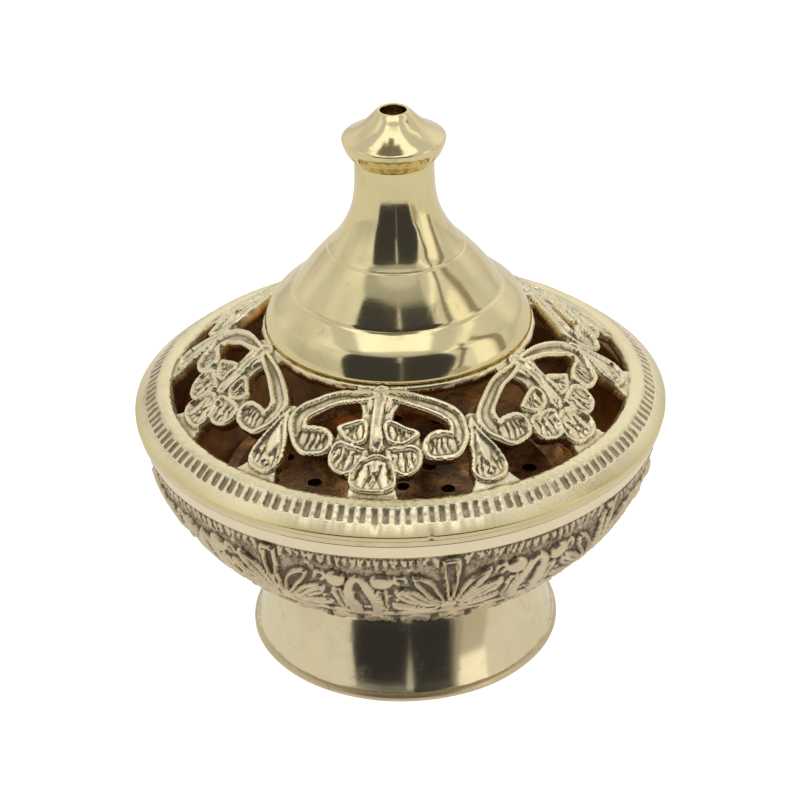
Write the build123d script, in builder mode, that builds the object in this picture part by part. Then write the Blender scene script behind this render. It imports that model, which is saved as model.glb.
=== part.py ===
from build123d import *
from math import cos, radians, sin
import os

# A footed brass censer: a bowl on a flared foot, a pierced lid that lifts off and turns, and a
# chimney with a finial. Millimetres. The origin is the centre of the foot's underside, +Z is up,
# and one leaf of the lid's openwork faces -Y.

# Driving dimensions
rim_radius = 45.0  # widest point, at the lid's lip
foot_height = 14.5  # top of the foot, where the bowl stands
bowl_rim_height = 43.7  # top face of the bowl's rim
lid_bottom = 44.9  # underside of the lid's rim
lid_lip_top = 47.1  # top of the smooth lip
neck_top = 89.0  # the chimney's upper end, where the finial sits
finial_top = 97.5
repeats = 6  # leaves round the lid

# Walls and fits
cast_wall = 1.8
turned_wall = 1.4
edge_break = 0.4  # chamfer on the rim's edges
small_edge = 0.2  # chamfer on the seat ring and the washer
joint_gap = 0.1  # axial gap at the seams between bowl, seat ring and lid
running_gap = 0.08  # radial clearance of the parts that turn or lift
fixed_gap = 0.03  # radial clearance of spigots that are fixed by a nut or pressed home

# Foot
foot_edge_radius = 27.1
foot_band_radius = 25.75
foot_band_height = 1.6
foot_collar_radius = 22.6  # short upright collar at the top of the foot's cone
foot_collar_height = 13.1
foot_web = 2.0

# Bowl
bowl_seat_radius = 21.7
bowl_edge_radius = 44.7  # widest point, under the chamfer of its rim
bowl_bore_radius = 41.4
bowl_floor = 16.8
frieze_top = 40.9
frieze_top_radius = 43.7
bowl_points = ((29.9, 19.1), (36.2, 25.2), (40.4, 31.1))
bowl_inner_points = ((38.5, 32.2), (34.7, 26.6), (28.7, 21.0))
bowl_floor_radius = 20.0

# Seat ring
ring_bore_radius = 38.9
ring_outer_radius = 44.2
collar_radius = 40.9  # the lid turns on this
collar_height = 1.1
collar_slope = 0.6  # lead of the collar's bore
skirt_depth = 2.6

# Lid
ribs_outer_radius = 43.35  # the ribbed cone between the raised ring and the lip
ribs_outer_height = 47.25
ribs_inner_radius = 41.0
crest_height = 49.0
crest_edge = (38.9, 49.2)  # highest line of the raised ring
dome_foot = (38.6, 48.7)  # where the dome meets the ring
dome_points = ((34.0, 52.0), (30.0, 55.2), (26.0, 58.0))
dome_inner_points = ((25.0, 56.5), (29.0, 53.7), (33.0, 50.5))
dome_inner_foot = (37.4, 47.3)
recess_radius = 38.6  # inner edge of the recess over the seat ring's collar
land_height = 59.6  # flat ring that carries the chimney
land_radius = 22.4
land_inner_radius = 21.6  # the same ring's edge on the inside of the dome
chimney_hole_radius = 17.6

# Chimney and finial
chimney_edge_radius = 22.35
chimney_edge_height = 59.8
lower_groove = (17.4, 66.5)
upper_groove = (11.3, 73.8)
groove_width = 0.7  # turned grooves round the cone
flare_point = (21.3, 62.9)  # on the curve between the chimney's edge and the lower groove
neck_curve_point = (8.7, 77.2)
neck_radius = 6.5
neck_foot = 82.0  # where the neck becomes straight
neck_bore_radius = 5.1
bore_curve = ((7.3, 76.6), (9.9, 73.2), (16.0, 65.9))
throat_height = 64.0
spigot_below_lid = 3.0  # threaded end of the chimney's spigot
finial_spigot_length = 5.6
finial_radius = 8.45
finial_edge_radius = 7.95
finial_edge_height = 93.3
finial_mouth_radius = 2.7
finial_wall = 1.4
smoke_hole_radius = 2.1
smoke_hole_depth = 2.0

# Foot screw set
screw_radius = 2.5
screw_clearance = 0.3  # radial, in the foot's web and the bowl
screw_head_radius = 4.6
screw_head_height = 2.4
screw_slot = 1.2
screw_slot_depth = 1.1
screw_point = 1.5  # how far the screw stands out below the nut
screw_tip_chamfer = 0.4
screw_head_fillet = 0.9
washer_radius = 6.0
washer_hole_radius = 2.7
washer_thickness = 1.0
nut_across_flats = 8.0
nut_thickness = 4.0
nut_corner_drop = 0.8  # height of the cone that takes off the nut's corners

# Ring nut under the chimney
ring_nut_radius = 20.4
ring_nut_thickness = 2.2
spanner_notch_radius = 1.0
spanner_notches = 4

# Charcoal plate
plate_radius = 31.4
plate_height = 25.0
plate_thickness = 1.2
plate_lip = 2.6
plate_hole_radius = 1.25
plate_hole_rows = ((8.0, 6), (15.5, 12), (23.0, 18))  # circle radius, holes on it

os.makedirs("parts", exist_ok=True)


def finish(piece, label):
    """Names a finished piece and writes it to its own STEP file."""
    piece.part.label = label
    export_step(piece.part, f"parts/{label}.step")


def lid_point(angle, radius):
    """A point in plan on the lid, its angle taken from the leaf that faces -Y."""
    return (radius * sin(radians(angle)), -radius * cos(radians(angle)))


# Foot: a hollow cone on a plain band, with a web across its top
with BuildPart() as foot:
    with BuildSketch(Plane.XZ):
        with BuildLine():
            Polyline(
                (screw_radius + screw_clearance, foot_height),
                (foot_collar_radius, foot_height),
                (foot_collar_radius, foot_collar_height),
                (foot_band_radius, foot_band_height),
                (foot_edge_radius - 0.5, foot_band_height - 0.3),
                (foot_edge_radius, foot_band_height - 0.9),
                (foot_edge_radius, 0),
                (foot_band_radius - cast_wall, 0),
                (foot_collar_radius - cast_wall, foot_height - foot_web),
                (screw_radius + screw_clearance, foot_height - foot_web),
                close=True,
            )
        make_face()
    revolve(axis=Axis.Z)
finish(foot, "foot")

# Bowl: its frieze is relief on the outside, between the smooth rim band and the foot
with BuildPart() as bowl:
    with BuildSketch(Plane.XZ):
        with BuildLine():
            Line((0, foot_height), (bowl_seat_radius, foot_height))
            Spline(
                (bowl_seat_radius, foot_height),
                *bowl_points,
                (frieze_top_radius, frieze_top),
                (bowl_edge_radius, bowl_rim_height - edge_break),
            )
            Polyline(
                (bowl_edge_radius, bowl_rim_height - edge_break),
                (bowl_edge_radius - edge_break, bowl_rim_height),
                (bowl_bore_radius, bowl_rim_height),
                (bowl_bore_radius, frieze_top),
            )
            Spline(
                (bowl_bore_radius, frieze_top),
                *bowl_inner_points,
                (bowl_floor_radius, bowl_floor),
                tangents=[(-0.1, -1), (-1, -0.2)],
            )
            Polyline((bowl_floor_radius, bowl_floor), (0, bowl_floor), (0, foot_height))
        make_face()
    revolve(axis=Axis.Z)
    with Locations((0, 0, bowl_floor)):
        Hole(radius=screw_radius + screw_clearance)
finish(bowl, "bowl")

# Foot screw: slotted, its head in the bowl, with a washer and a nut under the foot's web
screw_end = foot_height - foot_web - washer_thickness - nut_thickness - screw_point
with BuildPart() as foot_screw:
    with BuildSketch(Plane.XY.offset(screw_end)):
        Circle(screw_radius)
    extrude(amount=bowl_floor - screw_end)
    chamfer(foot_screw.faces().sort_by(Axis.Z)[0].edges(), screw_tip_chamfer)
    with BuildSketch(Plane.XY.offset(bowl_floor)):
        Circle(screw_head_radius)
    extrude(amount=screw_head_height)
    fillet(foot_screw.faces().sort_by(Axis.Z)[-1].edges(), screw_head_fillet)
    with BuildSketch(Plane.XY.offset(bowl_floor + screw_head_height)):
        Rectangle(2 * screw_head_radius + 1, screw_slot)
    extrude(amount=-screw_slot_depth, mode=Mode.SUBTRACT)
finish(foot_screw, "foot_screw")

washer_top = foot_height - foot_web
with BuildPart() as foot_washer:
    with BuildSketch(Plane.XY.offset(washer_top - washer_thickness)):
        Circle(washer_radius)
        Circle(washer_hole_radius, mode=Mode.SUBTRACT)
    extrude(amount=washer_thickness)
    chamfer(foot_washer.edges().filter_by(GeomType.CIRCLE).sort_by(SortBy.RADIUS)[-2:], small_edge)
finish(foot_washer, "foot_washer")

nut_bottom = washer_top - washer_thickness - nut_thickness
with BuildPart() as foot_nut:
    with BuildSketch(Plane.XY.offset(nut_bottom)):
        RegularPolygon(nut_across_flats / 2, 6, major_radius=False)
        Circle(screw_radius, mode=Mode.SUBTRACT)
    extrude(amount=nut_thickness)
    with BuildSketch(Plane.XZ):
        with BuildLine():
            Polyline(
                (0, nut_bottom),
                (nut_across_flats / 2 - small_edge, nut_bottom),
                (nut_across_flats / 2 + 1, nut_bottom + nut_corner_drop),
                (nut_across_flats / 2 + 1, nut_bottom + nut_thickness - nut_corner_drop),
                (nut_across_flats / 2 - small_edge, nut_bottom + nut_thickness),
                (0, nut_bottom + nut_thickness),
                close=True,
            )
        make_face()
    revolve(axis=Axis.Z, mode=Mode.INTERSECT)
finish(foot_nut, "foot_nut")

# Charcoal plate: a perforated dish that rests on the bowl's wall, over the ash space
with BuildPart() as charcoal_plate:
    with BuildSketch(Plane.XZ):
        with BuildLine():
            Polyline(
                (0, plate_height),
                (plate_radius - 3.6, plate_height),
                (plate_radius - 0.8, plate_height + plate_lip - 0.7),
                (plate_radius, plate_height + plate_lip),
                (plate_radius - 0.4, plate_height + plate_lip + 0.9),
                (plate_radius - 2.0, plate_height + plate_lip + 0.5),
                (plate_radius - 4.4, plate_height + plate_thickness),
                (0, plate_height + plate_thickness),
                close=True,
            )
        make_face()
    revolve(axis=Axis.Z)
    with Locations((0, 0, plate_height + plate_thickness)):
        Hole(radius=plate_hole_radius)
    for circle_radius, holes in plate_hole_rows:
        with BuildSketch(Plane.XY.offset(plate_height - 1)):
            with PolarLocations(circle_radius, holes):
                Circle(plate_hole_radius)
        extrude(amount=plate_thickness + 2, mode=Mode.SUBTRACT)
finish(charcoal_plate, "charcoal_plate")

# Seat ring: its flange shows as the thin band between bowl and lid, its skirt centres it in
# the bowl and the lid turns on its collar
flange_bottom = bowl_rim_height + joint_gap
flange_top = lid_bottom - joint_gap
skirt_radius = bowl_bore_radius - running_gap
with BuildPart() as lid_seat_ring:
    with BuildSketch(Plane.XZ):
        with BuildLine():
            Polyline(
                (ring_bore_radius, flange_bottom - skirt_depth),
                (skirt_radius - edge_break, flange_bottom - skirt_depth),
                (skirt_radius, flange_bottom - skirt_depth + edge_break),
                (skirt_radius, flange_bottom),
                (ring_outer_radius - small_edge, flange_bottom),
                (ring_outer_radius, flange_bottom + small_edge),
                (ring_outer_radius, flange_top - small_edge),
                (ring_outer_radius - small_edge, flange_top),
                (collar_radius, flange_top),
                (collar_radius, flange_top + collar_height),
                (ring_bore_radius + collar_slope, flange_top + collar_height),
                (ring_bore_radius, flange_top),
                close=True,
            )
        make_face()
    revolve(axis=Axis.Z)
finish(lid_seat_ring, "lid_seat_ring")

# Lid: a cast dome pierced by the gaps between leaves, scrolls and drops
lid_bore_radius = collar_radius + running_gap
lid_recess_top = flange_top + collar_height + joint_gap
with BuildPart() as lid_fret:
    with BuildSketch(Plane.XZ):
        with BuildLine():
            Polyline(
                (lid_bore_radius, lid_bottom),
                (rim_radius - edge_break, lid_bottom),
                (rim_radius, lid_bottom + edge_break),
                (rim_radius, lid_lip_top - edge_break),
                (rim_radius - edge_break, lid_lip_top),
                (ribs_outer_radius, ribs_outer_height),
                (ribs_inner_radius, crest_height),
                crest_edge,
                dome_foot,
            )
            Spline(
                dome_foot,
                *dome_points,
                (land_radius, land_height),
                tangents=[(-1, 0.7), (-1, 0)],
            )
            Polyline(
                (land_radius, land_height),
                (chimney_hole_radius, land_height),
                (chimney_hole_radius, land_height - cast_wall),
                (land_inner_radius, land_height - cast_wall),
            )
            Spline(
                (land_inner_radius, land_height - cast_wall),
                *dome_inner_points,
                dome_inner_foot,
                tangents=[(1, 0), (1, -0.7)],
            )
            Polyline(
                dome_inner_foot,
                (recess_radius, lid_recess_top),
                (lid_bore_radius, lid_recess_top),
                (lid_bore_radius, lid_bottom),
            )
        make_face()
    revolve(axis=Axis.Z)
    with BuildSketch(Plane.XY.offset(lid_bottom)):
        for turn in range(repeats):
            middle = turn * 360 / repeats
            for side in (-1, 1):
                with BuildLine():
                    # Gap below the rim, between a leaf's outer lobe and a drop
                    outer_gap = [(6.0, 38.0), (15.0, 38.1), (23.8, 38.0), (25.3, 36.0)]
                    outer_gap += [(26.0, 33.6), (22.0, 33.9), (16.5, 33.9), (13.0, 33.6)]
                    outer_gap += [(11.4, 35.0), (6.4, 35.6)]
                    gap_points = [lid_point(middle + side * a, r) for a, r in outer_gap]
                    FilletPolyline(*gap_points, radius=0.4, close=True)
                make_face()
                with BuildLine():
                    # Eye enclosed by a scroll arm
                    eye = [(5.4, 26.8), (8.0, 26.0), (13.5, 26.4), (19.6, 27.7), (21.6, 29.0)]
                    eye += [(19.0, 30.0), (13.4, 30.0), (9.4, 28.9), (5.6, 28.1)]
                    Spline(*[lid_point(middle + side * a, r) for a, r in eye], periodic=True)
                make_face()
            with BuildLine():
                # Triangle between two scroll arms, at the chimney's edge
                triangle = [(-8.0, 23.7), (8.0, 23.7), (0.0, 27.8)]
                half_turn = middle + 180 / repeats
                corners = [lid_point(half_turn + a, r) for a, r in triangle]
                FilletPolyline(*corners, radius=0.4, close=True)
            make_face()
    extrude(amount=land_height - lid_bottom + 1, mode=Mode.SUBTRACT)
finish(lid_fret, "lid_fret")

# Chimney: a turned shell whose spigot passes through the lid and takes a ring nut
spigot_bottom = land_height - cast_wall - spigot_below_lid
spigot_radius = chimney_hole_radius - fixed_gap
with BuildPart() as chimney:
    with BuildSketch(Plane.XZ):
        with BuildLine():
            Polyline(
                (spigot_radius - turned_wall, spigot_bottom),
                (spigot_radius, spigot_bottom),
                (spigot_radius, land_height),
                (chimney_edge_radius - 0.3, land_height),
                (chimney_edge_radius, chimney_edge_height),
                (chimney_edge_radius, chimney_edge_height + 0.5),
            )
            Spline(
                (chimney_edge_radius, chimney_edge_height + 0.5),
                flare_point,
                lower_groove,
                tangents=[(0, 1), (-1, 0.8)],
            )
            Line(lower_groove, upper_groove)
            Spline(
                upper_groove,
                neck_curve_point,
                (neck_radius, neck_foot),
                tangents=[(-1, 1.15), (0, 1)],
            )
            Polyline(
                (neck_radius, neck_foot),
                (neck_radius, neck_top),
                (neck_bore_radius, neck_top),
                (neck_bore_radius, neck_foot),
            )
            Spline(
                (neck_bore_radius, neck_foot),
                bore_curve[0],
                bore_curve[1],
                tangents=[(0, -1), (1, -1.15)],
            )
            Polyline(
                bore_curve[1],
                bore_curve[2],
                (spigot_radius - turned_wall, throat_height),
                (spigot_radius - turned_wall, spigot_bottom),
            )
        make_face()
    revolve(axis=Axis.Z)
    for groove_radius, groove_height in (lower_groove, upper_groove):
        with BuildSketch(Plane.XZ):
            with Locations((groove_radius, groove_height)):
                Circle(groove_width / 2)
        revolve(axis=Axis.Z, mode=Mode.SUBTRACT)
finish(chimney, "chimney")

nut_top = land_height - cast_wall
with BuildPart() as chimney_ring_nut:
    with BuildSketch(Plane.XY.offset(nut_top - ring_nut_thickness)):
        Circle(ring_nut_radius)
        Circle(chimney_hole_radius, mode=Mode.SUBTRACT)
        with PolarLocations(ring_nut_radius, spanner_notches):
            Circle(spanner_notch_radius, mode=Mode.SUBTRACT)
    extrude(amount=ring_nut_thickness)
finish(chimney_ring_nut, "chimney_ring_nut")

# Finial: a turned cap, open at the top, with a spigot down the neck
finial_bore_radius = neck_bore_radius - finial_wall
with BuildPart() as finial:
    with BuildSketch(Plane.XZ):
        with BuildLine():
            Polyline(
                (finial_bore_radius, neck_top - finial_spigot_length),
                (neck_bore_radius - fixed_gap, neck_top - finial_spigot_length),
                (neck_bore_radius - fixed_gap, neck_top),
                (neck_radius, neck_top),
            )
            Spline(
                (neck_radius, neck_top),
                (finial_radius - 0.7, neck_top + 1.6),
                (finial_radius, neck_top + 3.4),
            )
            ThreePointArc(
                (finial_radius, neck_top + 3.4),
                (finial_radius - 0.15, finial_edge_height - 0.35),
                (finial_edge_radius, finial_edge_height),
            )
            Spline(
                (finial_edge_radius, finial_edge_height),
                (5.1, 95.0),
                (finial_mouth_radius, finial_top - 0.2),
                tangents=[(-1, 0.4), (-0.5, 1)],
            )
            Polyline(
                (finial_mouth_radius, finial_top - 0.2),
                (finial_mouth_radius - 0.2, finial_top),
                (smoke_hole_radius, finial_top),
                (smoke_hole_radius, finial_top - smoke_hole_depth),
                (finial_bore_radius, neck_top + 2.5),
                (finial_bore_radius, neck_top - finial_spigot_length),
            )
        make_face()
    revolve(axis=Axis.Z)
finish(finial, "finial")
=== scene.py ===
import bpy
import math
import numpy as np
from mathutils import Matrix, Vector


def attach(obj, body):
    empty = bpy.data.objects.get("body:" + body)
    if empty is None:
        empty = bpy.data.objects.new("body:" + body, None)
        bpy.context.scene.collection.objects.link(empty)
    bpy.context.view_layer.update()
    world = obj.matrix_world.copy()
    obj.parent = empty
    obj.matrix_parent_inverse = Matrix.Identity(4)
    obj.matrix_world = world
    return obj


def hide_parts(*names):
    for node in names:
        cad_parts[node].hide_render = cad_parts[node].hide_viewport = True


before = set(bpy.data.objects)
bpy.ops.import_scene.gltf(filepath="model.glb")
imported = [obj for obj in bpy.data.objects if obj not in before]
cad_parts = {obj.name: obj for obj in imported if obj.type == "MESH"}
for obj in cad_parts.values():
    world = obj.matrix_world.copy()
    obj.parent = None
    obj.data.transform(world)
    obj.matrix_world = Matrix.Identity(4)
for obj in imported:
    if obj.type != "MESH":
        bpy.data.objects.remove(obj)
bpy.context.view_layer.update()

MM = 0.001
COARSE = 1


# ---- Outlines, in millimetres ----


def spline(points, per_span=6, closed=False):
    """A smooth curve through the points (centripetal Catmull-Rom)."""
    p = np.asarray(points, float)
    if closed:
        p = np.vstack([p[-1], p, p[0], p[1]])
    else:
        p = np.vstack([2 * p[0] - p[1], p, 2 * p[-1] - p[-2]])
    made = []
    for a, b, c, d in zip(p[:-3], p[1:-2], p[2:-1], p[3:]):
        knots = [0.0]
        for start, end in ((a, b), (b, c), (c, d)):
            knots.append(knots[-1] + max(np.linalg.norm(end - start), 1e-6) ** 0.5)
        t = np.linspace(knots[1], knots[2], per_span, endpoint=False)[:, None]
        level = [a, b, c, d]
        for spans in (((0, 1), (1, 2), (2, 3)), ((0, 2), (1, 3)), ((1, 2),)):
            ends = [(knots[i], knots[j]) for i, j in spans]
            level = [(high - t) / (high - low) * left + (t - low) / (high - low) * right
                     for (low, high), left, right in zip(ends, level, level[1:])]
        made.append(level[0])
    if not closed:
        made.append(p[-2:-1])
    return np.vstack(made)


def rounded(corners, steps=5):
    """A run of straight lines whose corners (r, z, radius) are rounded; radius 0 keeps a corner."""
    made = []
    for i, (x, y, radius) in enumerate(corners):
        here = np.array((x, y), float)
        if radius == 0 or i in (0, len(corners) - 1):
            made.append(here)
            continue
        before = np.array(corners[i - 1][:2], float) - here
        after = np.array(corners[i + 1][:2], float) - here
        reach_b, reach_a = np.linalg.norm(before), np.linalg.norm(after)
        cut = min(radius, 0.45 * reach_b, 0.45 * reach_a)
        start, end = here + before / reach_b * cut, here + after / reach_a * cut
        for t in np.linspace(0, 1, steps):
            made.append((1 - t) ** 2 * start + 2 * t * (1 - t) * here + t * t * end)
    return np.array(made)


def resampled(path, step):
    """The path with points about one step apart, its sharp corners kept."""
    made = [path[0]]
    for a, b in zip(path[:-1], path[1:]):
        count = max(1, int(round(np.linalg.norm(b - a) / step)))
        for t in range(1, count + 1):
            made.append(a + (b - a) * t / count)
    return np.array(made)


def smoothstep(low, high, x):
    t = np.clip((x - low) / (high - low), 0, 1)
    return t * t * (3 - 2 * t)


def ripple(points, size, seed, waves=20):
    """Smooth seeded noise of about -1 to 1, with features of the given size."""
    own = np.random.default_rng(seed)
    waves_of = own.normal(size=(waves, points.shape[-1]))
    waves_of *= 2 * math.pi / size / np.linalg.norm(waves_of, axis=1)[:, None]
    phase = own.uniform(0, 2 * math.pi, waves)
    total = np.zeros(points.shape[:-1])
    for wave, start in zip(waves_of, phase):
        total += np.sin(points @ wave + start)
    return total * math.sqrt(2 / waves) * 0.6


# ---- Signed distances in a flat pattern: positive inside a motif ----


def segment_distance(points, a, b):
    """Distance to the segment a-b, and how far along it the nearest point is (0 to 1)."""
    run = b - a
    t = np.clip(((points - a) @ run) / max(run @ run, 1e-12), 0, 1)
    return np.linalg.norm(points - (a + t[..., None] * run), axis=-1), t


def inside_outline(points, outline):
    """Signed distance to a closed outline."""
    nearest = np.full(points.shape[:-1], 1e9)
    odd = np.zeros(points.shape[:-1], bool)
    for a, b in zip(outline, np.roll(outline, -1, axis=0)):
        nearest = np.minimum(nearest, segment_distance(points, a, b)[0])
        crosses = (a[1] > points[..., 1]) != (b[1] > points[..., 1])
        if crosses.any():
            at = a[0] + (points[..., 1] - a[1]) / (b[1] - a[1] + 1e-12) * (b[0] - a[0])
            odd ^= crosses & (points[..., 0] < at)
    return np.where(odd, nearest, -nearest)


def inside_stroke(points, path, widths):
    """Signed distance to a stroke along the path, whose width changes along it."""
    widths = np.interp(np.linspace(0, 1, len(path)), np.linspace(0, 1, len(widths)), widths)
    best = np.full(points.shape[:-1], -1e9)
    for a, b, wide_a, wide_b in zip(path[:-1], path[1:], widths[:-1], widths[1:]):
        away, t = segment_distance(points, a, b)
        best = np.maximum(best, (wide_a + (wide_b - wide_a) * t) / 2 - away)
    return best


def near(points, outline, reach=1.2):
    """Which points lie within reach of the outline's box."""
    low, high = outline.min(axis=0) - reach, outline.max(axis=0) + reach
    return np.all((points > low) & (points < high), axis=-1)


NOWHERE = -9.0  # height and distance where there is no motif
SKIRT = 0.12  # how far past its outline a motif's edge slopes down
EDGE_DROP = 0.5  # and how deep


def moulding(d, ridge, width, recess=0.0, soft=0.25):
    """Height across a motif: a rounded ridge along its outline, then a recess inside it."""
    edge = smoothstep(-SKIRT, 0.2, d)
    inner = smoothstep(width, width + soft, d)
    return -EDGE_DROP * (1 - edge) + edge * (ridge * (1 - inner) + recess * inner)


class Relief:
    """A pattern of overlapping motifs over flat points: a height, and a distance to its edge."""

    def __init__(self, points):
        self.points = points
        self.height = np.full(points.shape[:-1], NOWHERE)
        self.inside = self.height.copy()

    def _put(self, height, outline=None, path=None, widths=(1.2,)):
        given = np.vstack([line for line in (outline, path) if line is not None])
        where = near(self.points, given, max(widths))
        d = np.full(where.sum(), NOWHERE)
        if outline is not None:
            d = inside_outline(self.points[where], np.asarray(outline))
        if path is not None:
            d = np.maximum(d, inside_stroke(self.points[where], path, widths))
        shown = np.where(d > -SKIRT, height(d), NOWHERE)
        self.height[where] = np.maximum(self.height[where], shown)
        self.inside[where] = np.maximum(self.inside[where], d)

    def shape(self, outline=None, level=0.0, path=None, widths=(1.2,), **form):
        """An outline, a stroke along a path, or both in one, with a moulding round it."""
        self._put(lambda d: level + moulding(d, **form), outline, path, widths)

    def dome(self, outline, level, rise, reach):
        """A rounded swelling inside an outline."""
        self._put(lambda d: level + rise * np.sqrt(1 - (1 - np.clip(d / reach, 0, 1)) ** 2),
                  outline)

    def carve(self, path, width, depth):
        """Adds a groove along a short path."""
        path = np.asarray(path, float)
        where = near(self.points, path, width)
        d = inside_stroke(self.points[where], path, [width * 0.6, width, width * 0.5])
        self.height[where] -= depth * smoothstep(-0.08, SKIRT, d)


# ---- Meshes ----


def new_piece(name, points, faces, body, nodes, slot, material, crease=40, **shades):
    """A closed mesh piece that stands for CAD nodes. Points are in millimetres.

    Each shade is a number for every point, for the material: cavity, 1 where dirt gathers and
    more round the lid's left, smooth, 1 where the casting was turned and polished, and the last, 1
    on the inside and under the lid, where shade is painted in a darker orange-brown."""
    mesh = bpy.data.meshes.new(name)
    mesh.from_pydata((points * MM).tolist(), [], outward(points, faces))
    mesh.update()
    for shade, values in shades.items():
        layer = mesh.attributes.new(shade, "FLOAT", "POINT")
        layer.data.foreach_set("value", np.ravel(values).astype(np.float32))
    piece = bpy.data.objects.new(name, mesh)
    bpy.context.scene.collection.objects.link(piece)
    mesh.shade_smooth()
    mesh.set_sharp_from_angle(angle=math.radians(crease))
    mesh.materials.append(material)
    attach(piece, body)
    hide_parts(*nodes)


def faces_between(a, size_a, b, size_b):
    """Faces between two rings of vertices, of one size or of half and whole."""
    i, j = np.arange(size_a), np.arange(size_b)
    next_a, next_b = a + np.roll(i, -1), b + np.roll(j, -1)
    i, j = a + i, b + j
    if size_a == size_b:
        return np.stack([i, next_a, next_b, j], -1)[:, ::-1].tolist()
    if size_a == 2 * size_b:
        start, middle, end = i[::2], i[1::2], next_a[1::2]
        corners = (j, middle, start), (j, next_b, middle), (next_b, end, middle)
    else:
        start, middle, end = j[::2], j[1::2], next_b[1::2]
        corners = (start, middle, i), (middle, next_a, i), (middle, end, next_a)
    return np.vstack([np.stack(f, -1) for f in corners]).tolist()


def stack_rings(rings):
    """Joins rings of points, each to the next and the last to the first, into one surface."""
    starts = np.cumsum([0] + [len(ring) for ring in rings])
    faces = []
    for a in range(len(rings)):
        b = (a + 1) % len(rings)
        faces += faces_between(starts[a], len(rings[a]), starts[b], len(rings[b]))
    return np.vstack(rings), faces


def polar(r, angle, z):
    """Points round the axis. The angle, in radians, is 0 at the front and grows to the right."""
    return np.stack(np.broadcast_arrays(r * np.sin(angle), -r * np.cos(angle), z), -1)


def ring_at(r, z, columns):
    return polar(r, np.linspace(0, 2 * math.pi, columns, endpoint=False), z)


def lathe_mesh(profile, columns):
    """Turns a closed profile (r, z) round the axis."""
    return stack_rings([ring_at(r, z, columns) for r, z in profile])


def swayed(points, amount, size, seed):
    """A turned piece is never quite round: its points moved in or out by a few hundredths."""
    radius = np.maximum(np.linalg.norm(points[:, :2], axis=1), 1e-6)
    moved = points.copy()
    moved[:, :2] *= (1 + ripple(points, size, seed) * amount / radius)[:, None]
    return moved


def outward(points, faces):
    """The faces, turned over if the closed surface they make is inside out."""
    p = np.asarray(points)
    volume = 0.0
    for size in (3, 4, 5, 6):
        sized = np.array([f for f in faces if len(f) == size])
        for k in range(1, size - 1):
            if len(sized):
                a, b, c = p[sized[:, 0]], p[sized[:, k]], p[sized[:, k + 1]]
                volume += np.einsum("ij,ij->", a, np.cross(b, c))
    return faces if volume > 0 else [f[::-1] for f in faces]


def blurred(height, across, around):
    """The height averaged over a window of cells, round the axis and along the rows."""
    total = height.copy()
    for k in range(1, around + 1):
        total += np.roll(height, k, axis=1) + np.roll(height, -k, axis=1)
    total /= 2 * around + 1
    padded = np.pad(total, ((across, across), (0, 0)), mode="edge")
    return sum(padded[k : k + len(height)] for k in range(2 * across + 1)) / (2 * across + 1)


# ---- Lid: the pierced dome ----

LEAVES = 6
SLANT = 1.25  # slant length on the dome for each millimetre of plan radius
CREST_RADIUS = 38.6  # inner edge of the raised ring
CREST_OUTER = 41.0
RING_TOP = 49.05  # height of its crown
LAND_RADIUS = 22.95  # outer edge of the land under the chimney
SHELL = 1.6  # thickness under the relief


def unrolled(angle, radius):
    """The dome as a flat cone: angle in degrees from a leaf's middle, radius in plan."""
    a = np.radians(angle) / SLANT
    return np.stack([radius * SLANT * np.sin(a), radius * SLANT * np.cos(a)], -1)


def on_dome(points):
    """The same for a list of (angle, radius) pairs."""
    p = np.asarray(points, float)
    return unrolled(p[:, 0], p[:, 1])


def both_sides(half, about=0.0):
    """An outline mirrored about an angle: half runs from that angle out and back to it."""
    p = np.asarray(half, float)
    other = p[::-1].copy()
    other[:, 0] = 2 * about - other[:, 0]
    keep = slice(1 if p[-1, 0] == about else 0, -1 if p[0, 0] == about else None)
    return np.vstack([p, other[keep]])


def loop(points, steps=5):
    """A smooth closed outline through the points."""
    return spline(points, steps, closed=True)


def dome_loop(points, about=None, steps=5):
    """The same on the dome, mirrored about an angle if one is given."""
    return loop(on_dome(points if about is None else both_sides(points, about)), steps)


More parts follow.
